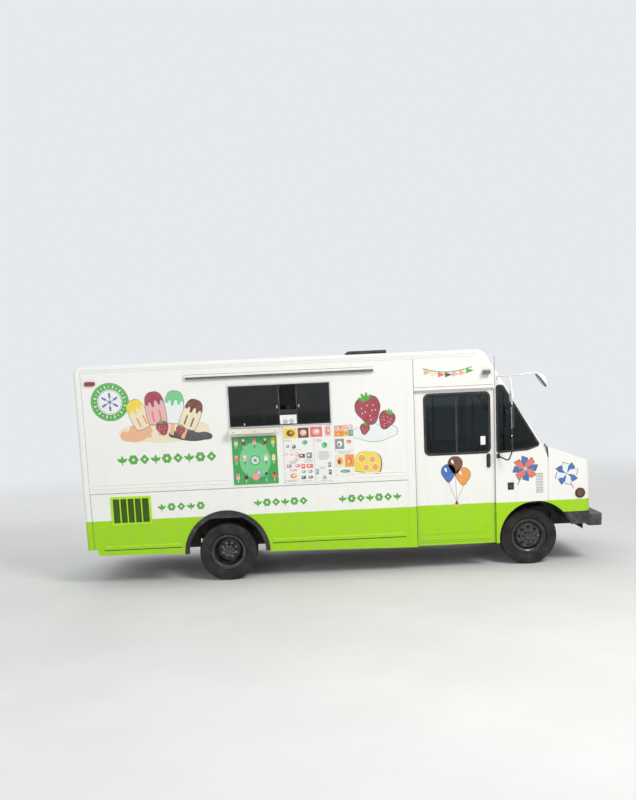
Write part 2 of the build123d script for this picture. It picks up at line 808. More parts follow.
# Serving ledge with a turned-down apron, the drip cassette over the window and the menu boards
ledge_x = (rear_axle_x + 111, rear_axle_x + 757)
ledge_z = (1900, 1984)
ledge_depth = 120
ledge_sheet = 5
with BuildPart() as serving_ledge:
    with BuildSketch(Plane.YZ.offset(ledge_x[0])):
        with BuildLine():
            Polyline(
                (-half_width, ledge_z[1]),
                (-half_width - ledge_depth, ledge_z[1]),
                (-half_width - ledge_depth, ledge_z[0] + 20),
                (-half_width - ledge_depth + ledge_sheet, ledge_z[0] + 20),
                (-half_width - ledge_depth + ledge_sheet, ledge_z[1] - ledge_sheet),
                (-half_width - ledge_sheet, ledge_z[1] - ledge_sheet),
                (-half_width - ledge_sheet, ledge_z[0]),
                (-half_width, ledge_z[0]),
                close=True,
            )
        make_face()
    extrude(amount=ledge_x[1] - ledge_x[0])
    for bracket_x in (ledge_x[0] + 60, (ledge_x[0] + ledge_x[1]) / 2, ledge_x[1] - 60):
        with BuildSketch(Plane.YZ.offset(bracket_x - 2)):
            with BuildLine():
                Polyline(
                    (-half_width, ledge_z[1] - 1),
                    (-half_width - ledge_depth + 1, ledge_z[1] - 1),
                    (-half_width, ledge_z[0]),
                    close=True,
                )
            make_face()
        extrude(amount=4)
save(serving_ledge, "serving_ledge")

cassette_x = (rear_axle_x - 414, rear_axle_x + 1986)
cassette_z = (2635, 2698)
with BuildPart() as window_cassette:
    with BuildSketch(Plane.YZ.offset(cassette_x[0])):
        with BuildLine():
            hood_lip = Line((-half_width, cassette_z[1]), (-half_width - 14, cassette_z[1]))
            bow = TangentArc(hood_lip @ 1, (-half_width - 40, cassette_z[0] + 24), tangent=(-1, 0))
            Polyline(
                bow @ 1,
                (-half_width - 40, cassette_z[0]),
                (-half_width, cassette_z[0]),
                (-half_width, cassette_z[1]),
            )
        make_face()
    extrude(amount=cassette_x[1] - cassette_x[0])
save(window_cassette, "window_cassette")

board_sheet = 4
boards = [
    (rear_axle_x + 124, rear_axle_x + 719, 1252, 1888),
    (rear_axle_x + 779, rear_axle_x + 1413, 1252, 1982),
    (rear_axle_x + 1447, rear_axle_x + 1697, 1319, 1975),
]
with BuildPart() as menu_boards:
    for start_x, end_x, bottom_z, top_z in boards:
        with BuildSketch(Plane.XZ.offset(half_width)):
            with Locations(((start_x + end_x) / 2, (bottom_z + top_z) / 2)):
                RectangleRounded(end_x - start_x, top_z - bottom_z, 6)
        extrude(amount=board_sheet)
save(menu_boards, "menu_boards")

# Roof hatch: a raised rim and a domed lid hinged along its rear edge
hatch_rim_height = 28
lid_z = (roof_z + hatch_rim_height + panel_gap, roof_z + 66)
lid_hinge_x = hatch_x[0] - 9
lid_hinge_z = lid_z[0] + 8
lid_hinge_radius = 7


def lid_knuckle(y, length, radius, mode=Mode.ADD):
    """A length of the lid's hinge line centred on y."""
    rod((lid_hinge_x, y - length / 2, lid_hinge_z), (lid_hinge_x, y + length / 2, lid_hinge_z), radius, mode)


with BuildPart() as hatch_frame:
    block(hatch_x, (-hatch_width / 2, hatch_width / 2), (roof_z, roof_z + hatch_rim_height))
    block(
        (hatch_x[0] + hatch_rim, hatch_x[1] - hatch_rim),
        (-hatch_width / 2 + hatch_rim, hatch_width / 2 - hatch_rim),
        (roof_z, roof_z + hatch_rim_height),
        Mode.SUBTRACT,
    )
    for knuckle_y in (-170, 170):
        for end in (-1, 1):
            knuckle_span = (knuckle_y + end * 50 - 25, knuckle_y + end * 50 + 25)
            block((lid_hinge_x - 4, hatch_x[0]), knuckle_span, (roof_z + 10, roof_z + hatch_rim_height))
            block((lid_hinge_x - 4, lid_hinge_x + 4), knuckle_span, (roof_z + 10, lid_hinge_z))
            lid_knuckle(knuckle_y + end * 50, 50, lid_hinge_radius)
save(hatch_frame, "hatch_frame")
with BuildPart() as hatch_lid:
    with BuildSketch(Plane.XY.offset(lid_z[0])):
        with Locations(((hatch_x[0] + hatch_x[1]) / 2, 0)):
            RectangleRounded(hatch_length, hatch_width, 25)
    extrude(amount=lid_z[1] - lid_z[0])
    fillet(hatch_lid.edges().group_by(Axis.Z)[-1], 18)
    offset(amount=-4, openings=hatch_lid.faces().sort_by(Axis.Z)[0])
    for knuckle_y in (-170, 170):
        block(
            (lid_hinge_x, hatch_x[0] + 3),
            (knuckle_y - 25 + knuckle_gap, knuckle_y + 25 - knuckle_gap),
            (lid_hinge_z - 3, lid_hinge_z + 3),
        )
        lid_knuckle(knuckle_y, 50 - 2 * knuckle_gap, lid_hinge_radius)
save(hatch_lid, "hatch_lid")

# Floor with raised boxes over the wheels, cab steps and a hole for the engine cover
pocket_half = door_inner - 6
pocket_rear_x = door_x[0] - door_travel - 30
step_x = (door_rear_x + 50, door_front_x - 30)
step_z = 420
step_inner_y = 800
step_sheet = 6
cover_rear_x = front_axle_x - 590
cover_half = 410
wheel_boxes = [
    (rear_axle_x, rear_arch_z, flare_radius - 5, rear_liner_y),
    (front_arch_x, front_arch_z, front_arch_radius, front_liner_y),
]
floor_z = (floor_top_z - floor_thickness, floor_top_z)
with BuildPart() as floor:
    block((rear_skin_x + wall, pocket_rear_x), (-inner_half, inner_half), floor_z)
    fillet(floor.edges().filter_by(Axis.Z).group_by(Axis.X)[0], body_edge_radius - wall + 2)
    block((pocket_rear_x, cab_seam_x), (-pocket_half, pocket_half), floor_z)
    block((cab_seam_x, cowl_x - wall), (-inner_half, inner_half), floor_z)
    for box_x, box_z, box_radius, box_y in wheel_boxes:
        for side in (-1, 1):
            rod((box_x, side * (box_y - liner), box_z), (box_x, side * inner_half, box_z), box_radius + liner)
    block((rear_end, front_end), (-half_width, half_width), (-200, floor_z[0]), Mode.SUBTRACT)
    block((cowl_x, front_end), (-half_width, half_width), (0, floor_top_z + 300), Mode.SUBTRACT)
    block(
        (cover_rear_x + 25, cowl_x),
        (-cover_half + 25, cover_half - 25),
        (0, floor_top_z + 300),
        Mode.SUBTRACT,
    )
    for side in (-1, 1):
        block(step_x, (side * step_inner_y, side * pocket_half), (step_z, floor_z[1]))
        block(
            (step_x[0] + step_sheet, step_x[1] - step_sheet),
            (side * (step_inner_y + step_sheet), side * (pocket_half + 1)),
            (step_z + step_sheet, floor_z[1]),
            Mode.SUBTRACT,
        )
    for box_x, box_z, box_radius, box_y in wheel_boxes:
        for side in (-1, 1):
            rod((box_x, side * box_y, box_z), (box_x, side * inner_half, box_z), box_radius, Mode.SUBTRACT)
    bearer_start = rear_seam_x + 60
    bearer_pitch = 400
    for index in range(12):
        bearer_x = bearer_start + index * bearer_pitch
        clear_of_wheels = abs(bearer_x - rear_axle_x) > rear_arch_radius
        if clear_of_wheels and bearer_x < cover_rear_x - 60:
            reach = inner_half if bearer_x < pocket_rear_x - 40 else step_inner_y
            block((bearer_x - 4, bearer_x + 4), (-reach, reach), (floor_z[0] - bearer_height, floor_z[0]))
            block((bearer_x - 4, bearer_x + 30), (-reach, reach), (rail_top_z, rail_top_z + 6))
save(floor, "floor")

# Ladder frame: two channel rails joined by crossmembers
bumper_back_x = front_end - 185
rail_x = (rear_end + 60, bumper_back_x - 10)
crossmembers = [
    ("rear", rear_end + 100),
    ("spring_rear", rear_axle_x - 780),
    ("spring_front", rear_axle_x + 780),
    ("shaft", rear_axle_x + 1550),
    ("gearbox", front_axle_x - 1150),
    ("front", front_axle_x + 630),
]
cross_z = (560, 690)
with BuildPart() as chassis_frame:
    for side in (-1, 1):
        with BuildSketch(Plane.YZ.offset(rail_x[0])):
            with BuildLine():
                outer_y = side * rail_outer
                web_y = side * (rail_outer - rail_sheet)
                tip_y = side * (rail_outer - rail_width)
                Polyline(
                    (outer_y, rail_bottom_z),
                    (outer_y, rail_top_z),
                    (tip_y, rail_top_z),
                    (tip_y, rail_top_z - rail_sheet),
                    (web_y, rail_top_z - rail_sheet),
                    (web_y, rail_bottom_z + rail_sheet),
                    (tip_y, rail_bottom_z + rail_sheet),
                    (tip_y, rail_bottom_z),
                    close=True,
                )
            make_face()
        extrude(amount=rail_x[1] - rail_x[0])
    for name, cross_x in crossmembers:
        block((cross_x - 30, cross_x + 30), (-rail_outer + 3, rail_outer - 3), cross_z)
        block(
            (cross_x - 24, cross_x + 30),
            (-rail_outer + 3, rail_outer - 3),
            (cross_z[0] + 6, cross_z[1] - 6),
            Mode.SUBTRACT,
        )
    for side in (-1, 1):
        block(
            (rail_x[0], rail_x[1]),
            (side * (rail_outer - rail_sheet), side * rail_outer),
            (rail_bottom_z, rail_top_z),
        )
save(chassis_frame, "chassis_frame")

# Leaf springs: shortening leaves under a main leaf, eyes held in hangers under the rails
leaf_thickness = 10
leaves = 4
leaf_step = 0.17
eye_radius = 18
spring_sets = [
    # axle_x, half_span, seat_z, eye_z
    (front_axle_x, 560, 400, rail_bottom_z - 34),
    (rear_axle_x, 640, 448, rail_bottom_z - 20),
]
with BuildPart() as leaf_springs:
    for axle_x, half_span, seat_z, eye_z in spring_sets:
        main_z = seat_z + (leaves - 0.5) * leaf_thickness
        rise = eye_z - main_z
        curve = (half_span**2 + rise**2) / (2 * rise)
        for side in (-1, 1):
            for index in range(leaves):
                span = half_span * (1 - leaf_step * index)
                with BuildSketch(Plane.XZ.offset(-side * spring_y)):
                    with Locations((axle_x, main_z + curve)):
                        Circle(curve + leaf_thickness * (index + 0.5))
                        Circle(curve + leaf_thickness * (index - 0.5), mode=Mode.SUBTRACT)
                    with Locations((axle_x, main_z)):
                        Rectangle(2 * span, 4 * rise + 2 * leaves * leaf_thickness, mode=Mode.INTERSECT)
                extrude(amount=spring_width / 2, both=True)
            for end in (-1, 1):
                eye_x = axle_x + end * half_span
                rod(
                    (eye_x, side * (spring_y - spring_width / 2), eye_z),
                    (eye_x, side * (spring_y + spring_width / 2), eye_z),
                    eye_radius,
                )
                for cheek in (-1, 1):
                    cheek_y = side * spring_y + cheek * (spring_width / 2 + 4)
                    block((eye_x - 24, eye_x + 24), (cheek_y - 4, cheek_y + 4), (eye_z - 24, rail_bottom_z))
            block(
                (axle_x - 60, axle_x + 60),
                (side * (spring_y - 40), side * (spring_y + 40)),
                (seat_z - 12, seat_z + 1),
            )
save(leaf_springs, "leaf_springs")

# Front axle beam with its kingpin eyes
beam_seat_z = spring_sets[0][2] - 12
eye_half = 35
with BuildPart() as front_axle:
    with BuildSketch(Plane.YZ.offset(front_axle_x)):
        with BuildLine():
            Polyline(
                (-kingpin_y, axle_z + eye_half),
                (-640, axle_z + eye_half),
                (-540, beam_seat_z),
                (540, beam_seat_z),
                (640, axle_z + eye_half),
                (kingpin_y, axle_z + eye_half),
                (kingpin_y, axle_z - eye_half),
                (620, axle_z - eye_half),
                (520, beam_seat_z - 72),
                (-520, beam_seat_z - 72),
                (-620, axle_z - eye_half),
                (-kingpin_y, axle_z - eye_half),
                close=True,
            )
        make_face()
    extrude(amount=36, both=True)
    for face_side in (-1, 1):
        with BuildSketch(Plane.YZ.offset(front_axle_x + face_side * 36)):
            with Locations((0, beam_seat_z - 36)):
                Rectangle(980, 40)
        extrude(amount=-face_side * 24, mode=Mode.SUBTRACT)
    for side in (-1, 1):
        rod(
            (front_axle_x, side * kingpin_y, axle_z - eye_half),
            (front_axle_x, side * kingpin_y, axle_z + eye_half),
            40,
        )
        rod(
            (front_axle_x, side * kingpin_y, axle_z - eye_half),
            (front_axle_x, side * kingpin_y, axle_z + eye_half),
            kingpin_radius + running_gap,
            Mode.SUBTRACT,
        )
save(front_axle, "front_axle")

# Steering knuckles with kingpin, spindle, backing plate and arm
arm_reach = 140
ball_x = front_axle_x - arm_reach
ball_z = 300
ball_radius = 8
eye_ring = 20
lug_gap = 1
lug_height = 26
lug_reach = eye_half + lug_gap + lug_height
with BuildPart() as knuckle_right:
    kingpin = (front_axle_x, -kingpin_y)
    rod((*kingpin, axle_z - lug_reach), (*kingpin, axle_z + lug_reach), kingpin_radius)
    for end in (-1, 1):
        lug_start = axle_z + end * (eye_half + lug_gap)
        rod((*kingpin, lug_start), (*kingpin, lug_start + end * lug_height), 40)
        block(
            (front_axle_x - 34, front_axle_x + 34),
            (-kingpin_y, -kingpin_y - 56),
            (lug_start, lug_start + end * lug_height),
        )
    block(
        (front_axle_x - 34, front_axle_x + 34),
        (-kingpin_y - 42, -kingpin_y - 56),
        (axle_z - lug_reach, axle_z + lug_reach),
    )
    backing_y = kingpin_y + 50
    rod((front_axle_x, -backing_y, axle_z), (front_axle_x, -backing_y - 8, axle_z), 150)
    rod((front_axle_x, -backing_y, axle_z), (front_axle_x, -front_wheel_y - 50, axle_z), front_spindle_radius)
    arm_z = axle_z - lug_reach
    with BuildSketch(Plane.XY.offset(arm_z)):
        with BuildLine():
            Polyline(
                (front_axle_x - 20, -kingpin_y - 36),
                (ball_x, -kingpin_y - 16),
                (ball_x, -kingpin_y + 16),
                (front_axle_x + 10, -kingpin_y + 30),
                close=True,
            )
        make_face()
        with Locations((ball_x, -kingpin_y)):
            Circle(eye_ring)
    extrude(amount=20)
    rod((ball_x, -kingpin_y, arm_z), (ball_x, -kingpin_y, ball_z - 30), ball_radius)
knuckle_left = mirrored(knuckle_right)
save(knuckle_right, "knuckle_right")
save(knuckle_left, "knuckle_left")

# Tie rod between the two steering arms, which are as long and stand as far apart as the kingpins
tie_rod_z = (ball_z - 30, ball_z - 6)
with BuildPart() as tie_rod:
    rod_middle_z = (tie_rod_z[0] + tie_rod_z[1]) / 2
    for side in (-1, 1):
        rod((ball_x, side * kingpin_y, tie_rod_z[0]), (ball_x, side * kingpin_y, tie_rod_z[1]), eye_ring)
    rod((ball_x, -kingpin_y, rod_middle_z), (ball_x, kingpin_y, rod_middle_z), 10)
    for side in (-1, 1):
        rod(
            (ball_x, side * kingpin_y, tie_rod_z[0]),
            (ball_x, side * kingpin_y, tie_rod_z[1]),
            ball_radius + running_gap,
            Mode.SUBTRACT,
        )
save(tie_rod, "tie_rod")

# Wheels: dished discs in drop-centre rims, and hollow tyres on their bead seats
flange_radius = 228
rim_sheet = 7
seat_half = rim_half - rim_sheet
barrel_radius = 189
disc_sheet = 8
disc_shoulder = 150


def rim_section(outward, dish, hub_radius):
    """Half section of one rim: sketch X is radius, sketch Y the distance sideways from its middle."""
    barrel = [
        (flange_radius, rim_half),
        (flange_radius, seat_half),
        (bead_radius - seat_gap, seat_half),
        (bead_radius - seat_gap, 50),
        (barrel_radius + rim_sheet, 42),
    ]
    inside = [
        (barrel_radius, 44),
        (bead_radius - seat_gap - rim_sheet, 52),
        (bead_radius - seat_gap - rim_sheet, rim_half),
    ]
    outline = barrel + [(r, -v) for r, v in reversed(barrel)]
    outline += [(r, -v) for r, v in reversed(inside)] + inside
    side = 1 if dish > 0 else -1
    disc = [
        (barrel_radius + 3, side * 30),
        (disc_shoulder, dish),
        (hub_radius - 2, dish),
        (hub_radius - 2, dish - side * disc_sheet),
        (disc_shoulder - 5, dish - side * disc_sheet),
        (barrel_radius + 3, side * 14),
    ]
    with BuildSketch(mode=Mode.PRIVATE) as section:
        for points in (outline, disc):
            with BuildLine():
                Polyline(*[(r, outward * v) for r, v in points], close=True)
            make_face()
    return section.sketch


def wheel_plane(x, y):
    """A plane through a wheel's middle whose sketch holds radius and sideways distance."""
    return Plane(origin=(x, y, axle_z), x_dir=(1, 0, 0), z_dir=(0, 0, 1))


def tyre_section():
    """The section of a hollow tyre: tread, shoulders, bulging walls and beads."""
    half = tyre_width / 2
    bead_half = seat_half - seat_gap
    skin = 14
    tread = 84
    with BuildSketch(mode=Mode.PRIVATE) as section:
        with BuildLine():
            for end in (-1, 1):
                Line((bead_radius, end * bead_half), (flange_radius + 4, end * bead_half))
                bead_edge = (flange_radius + 4, end * bead_half)
                ThreePointArc(bead_edge, (292, end * half), (352, end * (half - 9)))
                ThreePointArc((352, end * (half - 9)), (369, end * (tread + 7)), (tyre_radius, end * tread))
                Line((bead_radius, end * bead_half), (bead_radius, end * (bead_half - skin)))
                Line((bead_radius, end * (bead_half - skin)), (flange_radius + 8, end * (bead_half - skin)))
                ThreePointArc(
                    (flange_radius + 8, end * (bead_half - skin)),
                    (292, end * (half - skin)),
                    (tyre_radius - 26, end * (tread + 4)),
                )
            Line((tyre_radius, -tread), (tyre_radius, tread))
            Line((tyre_radius - 26, -tread - 4), (tyre_radius - 26, tread + 4))
        make_face()
    return section.sketch


hub_radius_front = 58
hub_radius_rear = 75
front_dish = 62
hand_hole_radius = 17
hand_hole_circle = 122
hand_holes = 8
tyre_face = tyre_section()
for side, name in ((-1, "right"), (1, "left")):
    front_face = rim_section(side, front_dish, hub_radius_front)
    outer_face = rim_section(side, -twin_pitch / 2, hub_radius_rear)
    inner_face = rim_section(side, twin_pitch / 2, hub_radius_rear)
    with BuildPart() as front_rim:
        centre_y = side * front_wheel_y
        spin_axis = Axis((front_axle_x, centre_y, axle_z), (0, 1, 0))
        with BuildSketch(wheel_plane(front_axle_x, centre_y)):
            add(front_face)
        revolve(axis=spin_axis)
        hub_start = kingpin_y + 60
        rod(
            (front_axle_x, side * hub_start, axle_z),
            (front_axle_x, side * (front_wheel_y + 88), axle_z),
            hub_radius_front,
        )
        rod(
            (front_axle_x, side * (front_wheel_y + 88), axle_z),
            (front_axle_x, side * (front_wheel_y + 104), axle_z),
            40,
        )
        rod((front_axle_x, side * hub_start, axle_z), (front_axle_x, side * (hub_start + 45), axle_z), 140)
        rod(
            (front_axle_x, side * hub_start, axle_z),
            (front_axle_x, side * (front_wheel_y + 55), axle_z),
            front_spindle_radius + running_gap,
            Mode.SUBTRACT,
        )
        disc_plane = Plane(
            origin=(front_axle_x, side * (front_wheel_y + front_dish), axle_z),
            x_dir=(1, 0, 0),
            z_dir=(0, side, 0),
        )
        with BuildSketch(disc_plane):
            with PolarLocations(hand_hole_circle, hand_holes):
                Circle(hand_hole_radius)
        extrude(amount=-disc_sheet - 2, mode=Mode.SUBTRACT)
    save(front_rim, f"front_rim_{name}")
    with BuildPart() as front_tyre:
        with BuildSketch(wheel_plane(front_axle_x, centre_y)):
            add(tyre_face)
        revolve(axis=spin_axis)
    save(front_tyre, f"front_tyre_{name}")

    with BuildPart() as rear_rims:
        spin_axis = Axis((rear_axle_x, side * rear_wheel_y, axle_z), (0, 1, 0))
        for place, rim_face in ((1, outer_face), (-1, inner_face)):
            with BuildSketch(wheel_plane(rear_axle_x, side * (rear_wheel_y + place * twin_pitch / 2))):
                add(rim_face)
            revolve(axis=spin_axis)
        rod(
            (rear_axle_x, side * (rear_wheel_y - 177), axle_z),
            (rear_axle_x, side * (rear_wheel_y + 150), axle_z),
            hub_radius_rear,
        )
        rod(
            (rear_axle_x, side * (rear_wheel_y + 150), axle_z),
            (rear_axle_x, side * (rear_wheel_y + 172), axle_z),
            55,
        )
        rod(
            (rear_axle_x, side * (rear_wheel_y - 177), axle_z),
            (rear_axle_x, side * (rear_wheel_y - 20), axle_z),
            170,
        )
        rod(
            (rear_axle_x, side * (rear_wheel_y - 177), axle_z),
            (rear_axle_x, side * (rear_wheel_y + 28), axle_z),
            rear_spindle_radius + running_gap,
            Mode.SUBTRACT,
        )
        with BuildSketch(
            Plane(
                origin=(rear_axle_x, side * (rear_wheel_y + 10), axle_z),
                x_dir=(1, 0, 0),
                z_dir=(0, side, 0),
            )
        ):
            with PolarLocations(hand_hole_circle - 4, hand_holes):
                Circle(hand_hole_radius)
        extrude(amount=-22, mode=Mode.SUBTRACT)
    save(rear_rims, f"rear_rims_{name}")
    with BuildPart() as rear_tyres:
        for place in (1, -1):
            with BuildSketch(wheel_plane(rear_axle_x, side * (rear_wheel_y + place * twin_pitch / 2))):
                add(tyre_face)
            revolve(axis=spin_axis)
    save(rear_tyres, f"rear_tyres_{name}")

# Rear axle: tubes, banjo housing with its pinion nose, backing plates and spindles
tube_radius = 60
banjo_radius = 168
pinion_reach = 285
plate_y_rear = rear_wheel_y - 177 - 8
with BuildPart() as rear_axle:
    with BuildSketch(wheel_plane(rear_axle_x, 0)):
        with BuildLine():
            flank = ThreePointArc((tube_radius, -230), (banjo_radius * 0.78, -110), (banjo_radius, 0))
            other = ThreePointArc((banjo_radius, 0), (banjo_radius * 0.78, 110), (tube_radius, 230))
            Polyline(other @ 1, (0, 230), (0, -230), flank @ 0)
        make_face()
    revolve(axis=Axis((rear_axle_x, 0, axle_z), (0, 1, 0)))
    rod((rear_axle_x, -plate_y_rear, axle_z), (rear_axle_x, plate_y_rear, axle_z), tube_radius)
    for side in (-1, 1):
        rod((rear_axle_x, side * (plate_y_rear - 8), axle_z), (rear_axle_x, side * plate_y_rear, axle_z), 160)
        rod(
            (rear_axle_x, side * plate_y_rear, axle_z),
            (rear_axle_x, side * (rear_wheel_y + 22), axle_z),
            rear_spindle_radius,
        )
        block(
            (rear_axle_x - 60, rear_axle_x + 60),
            (side * (spring_y - 38), side * (spring_y + 38)),
            (axle_z, spring_sets[1][2] - 12),
        )
    with BuildSketch(Plane.YZ.offset(rear_axle_x + 80)):
        with Locations((0, axle_z)):
            Circle(110)
    with BuildSketch(Plane.YZ.offset(rear_axle_x + pinion_reach)):
        with Locations((0, axle_z)):
            Circle(50)
    loft()
save(rear_axle, "rear_axle")

# Engine with its gearbox and mounts, and the radiator ahead of it
engine_x = (front_axle_x - 430, front_axle_x + 330)
engine_half = 290
engine_z = (480, 1080)
gearbox_rear_x = front_axle_x - 1060
shaft_z = (505, axle_z)
radiator_x = (front_axle_x + 606, front_axle_x + 660)
with BuildPart() as engine:
    block(engine_x, (-engine_half, engine_half), engine_z)
    chamfer(engine.edges().filter_by(Axis.X).group_by(Axis.Z)[0], 110)
    chamfer(engine.edges().filter_by(Axis.X).group_by(Axis.Z)[-1], 70)
    with BuildSketch(Plane.YZ.offset(engine_x[0])):
        with Locations((0, 610)):
            Circle(125)
    with BuildSketch(Plane.YZ.offset(gearbox_rear_x)):
        with Locations((0, shaft_z[0])):
            Circle(70)
    loft()
    for side in (-1, 1):
        block(
            (front_axle_x - 60, front_axle_x + 60),
            (side * (engine_half - 60), side * (rail_outer - rail_sheet)),
            (rail_bottom_z + rail_sheet, rail_bottom_z + rail_sheet + 90),
        )
    block(radiator_x, (-380, 380), (cross_z[1], 1180))
save(engine, "engine")

# Propeller shaft between the gearbox and the rear axle
shaft_radius = 38
with BuildPart() as drive_shaft:
    rod((gearbox_rear_x, 0, shaft_z[0]), (rear_axle_x + pinion_reach, 0, shaft_z[1]), shaft_radius)
    block((gearbox_rear_x, front_end), (-100, 100), (0, 1000), Mode.SUBTRACT)
    block((rear_end, rear_axle_x + pinion_reach), (-100, 100), (0, 1000), Mode.SUBTRACT)
save(drive_shaft, "drive_shaft")

# Exhaust: a bent pipe over the rear axle with its silencer, hung from the crossmembers
exhaust_y = -250
silencer_x = (front_axle_x - 2000, front_axle_x - 1400)
silencer_z = 460
silencer_radius = 85
pipe_radius = 28
tail_y = -620
exhaust_route = [
    (engine_x[0], exhaust_y, 620),
    (engine_x[0] - 160, exhaust_y, 620),
    (engine_x[0] - 420, exhaust_y, silencer_z),
    (rear_axle_x + 520, exhaust_y, silencer_z),
    (rear_axle_x + 280, exhaust_y, 486),
    (rear_axle_x - 280, exhaust_y, 486),
    (rear_axle_x - 620, exhaust_y, 430),
    (rear_axle_x - 1000, tail_y, 430),
    (rear_end + 160, tail_y, 430),
]
with BuildPart() as exhaust:
    with BuildLine() as exhaust_path:
        FilletPolyline(*exhaust_route, radius=110)
    with BuildSketch(Plane(origin=exhaust_path.line @ 0, z_dir=exhaust_path.line % 0)):
        Circle(pipe_radius)
    sweep(path=exhaust_path.line)
    with BuildSketch(Plane.YZ.offset(silencer_x[0])):
        with Locations((exhaust_y, silencer_z)):
            Ellipse(silencer_radius * 1.3, silencer_radius * 0.85)
    extrude(amount=silencer_x[1] - silencer_x[0])
    fillet(exhaust.edges().filter_by(GeomType.ELLIPSE), 14)
    for strap_x in (silencer_x[0] + 60, silencer_x[1] - 60):
        block(
            (strap_x - 15, strap_x + 15),
            (-rail_outer + rail_width - 12, exhaust_y - 60),
            (rail_bottom_z - 6, rail_bottom_z),
        )
        block((strap_x - 15, strap_x + 15), (exhaust_y - 80, exhaust_y - 70), (silencer_z, rail_bottom_z))
save(exhaust, "exhaust")

# Fuel tank on the left rail, held by two straps
tank_x = (rear_axle_x + 800, rear_axle_x + 1600)
tank_y = (505, 985)
tank_z = (430, 682)
with BuildPart() as fuel_tank:
    with BuildSketch(Plane.YZ.offset(tank_x[0])):
        with Locations(((tank_y[0] + tank_y[1]) / 2, (tank_z[0] + tank_z[1]) / 2)):
            RectangleRounded(tank_y[1] - tank_y[0], tank_z[1] - tank_z[0], 60)
    extrude(amount=tank_x[1] - tank_x[0])
    fillet(fuel_tank.faces().sort_by(Axis.X)[0].edges(), 12)
    fillet(fuel_tank.faces().sort_by(Axis.X)[-1].edges(), 12)
    for strap_x in (tank_x[0] + 160, tank_x[1] - 160):
        with BuildSketch(Plane.YZ.offset(strap_x - 20)):
            with Locations(((tank_y[0] + tank_y[1]) / 2, (tank_z[0] + tank_z[1]) / 2)):
                RectangleRounded(tank_y[1] - tank_y[0] + 8, tank_z[1] - tank_z[0] + 8, 64)
        extrude(amount=40)
        block((strap_x - 20, strap_x + 20), (rail_outer, tank_y[0]), (560, 640))
save(fuel_tank, "fuel_tank")

# Front bumper: a deep channel with rounded ends, side valances and frame brackets
bumper_z = (510, 661)
bumper_half = nose_half - 14
bumper_sheet = 8
valance_rear_x = front_axle_x + 410
with BuildPart() as front_bumper:
    with BuildSketch(Plane.XY.offset(bumper_z[0])):
        with BuildLine():
            FilletPolyline(
                (bumper_back_x, -bumper_half),
                (front_end, -bumper_half),
                (front_end, bumper_half),
                (bumper_back_x, bumper_half),
                radius=70,
            )
            Line((bumper_back_x, bumper_half), (bumper_back_x, -bumper_half))
        make_face()
    extrude(amount=bumper_z[1] - bumper_z[0])
    with BuildSketch(Plane.XY.offset(bumper_z[0] + bumper_sheet)):
        with BuildLine():
            FilletPolyline(
                (bumper_back_x - 1, -bumper_half + bumper_sheet),
                (front_end - bumper_sheet, -bumper_half + bumper_sheet),
                (front_end - bumper_sheet, bumper_half - bumper_sheet),
                (bumper_back_x - 1, bumper_half - bumper_sheet),
                radius=62,
            )
            Line(
                (bumper_back_x - 1, bumper_half - bumper_sheet),
                (bumper_back_x - 1, -bumper_half + bumper_sheet),
            )
        make_face()
    extrude(amount=bumper_z[1] - bumper_z[0] - 2 * bumper_sheet, mode=Mode.SUBTRACT)
    for side in (-1, 1):
        block(
            (valance_rear_x, bumper_back_x + 2),
            (side * (bumper_half - bumper_sheet), side * bumper_half),
            (bumper_z[0] + 30, nose_bottom_z - seat_gap),
        )
        block(
            (bumper_back_x - 160, front_end - bumper_sheet),
            (side * rail_outer, side * (rail_outer + 12)),
            (rail_bottom_z + 10, bumper_z[1] - bumper_sheet),
        )
    arch_cut(front_arch_x, front_arch_z, front_arch_radius + 4)
    for groove_z in (bumper_z[0] + 45, bumper_z[0] + 106):
        block(
            (front_end - 4, front_end),
            (-bumper_half + 90, bumper_half - 90),
            (groove_z - 4, groove_z + 4),
            Mode.SUBTRACT,
        )
save(front_bumper, "front_bumper")

# Grille: a frame of level bars set in the nose panel
grille_bars = 8
with BuildPart() as grille:
    grille_depth = nose_sheet
    with BuildSketch(Plane.YZ.offset(nose_front_x - grille_depth)):
        with Locations((0, (grille_z[0] + grille_z[1]) / 2)):
            Rectangle(2 * grille_half - 2 * seat_gap, grille_z[1] - grille_z[0] - 2 * seat_gap)
            Rectangle(2 * grille_half - 36, grille_z[1] - grille_z[0] - 36, mode=Mode.SUBTRACT)
    extrude(amount=grille_depth + 6)
    for bar in range(grille_bars):
        bar_z = grille_z[0] + 18 + (bar + 0.5) * (grille_z[1] - grille_z[0] - 36) / grille_bars
        with BuildSketch(Plane.XZ):
            with BuildLine():
                Polyline(
                    (nose_front_x - 20, bar_z - 4),
                    (nose_front_x + 3, bar_z - 8),
                    (nose_front_x + 3, bar_z + 8),
                    (nose_front_x - 20, bar_z + 4),
                    close=True,
                )
            make_face()
        extrude(amount=grille_half - 17, both=True)
    block((nose_front_x - 20, nose_front_x), (-5, 5), (grille_z[0] + 10, grille_z[1] - 10))
save(grille, "grille")

# Headlamps: round lamps in raised bezels, seated in the nose panel
bezel = 214
with BuildPart() as head_lamps:
    for side in (-1, 1):
        rod(
            (nose_front_x - 38, side * headlamp_y, headlamp_z),
            (nose_front_x, side * headlamp_y, headlamp_z),
            headlamp_radius,
        )
        with BuildSketch(Plane.YZ.offset(nose_front_x)):
            with Locations((side * headlamp_y, headlamp_z)):
                RectangleRounded(bezel, bezel, 30)
        extrude(amount=14, taper=12)
        with BuildSketch(Plane.YZ.offset(nose_front_x + 14)):
            with Locations((side * headlamp_y, headlamp_z)):
                Circle(headlamp_radius - 8)
        extrude(amount=-10, mode=Mode.SUBTRACT)
save(head_lamps, "head_lamps")

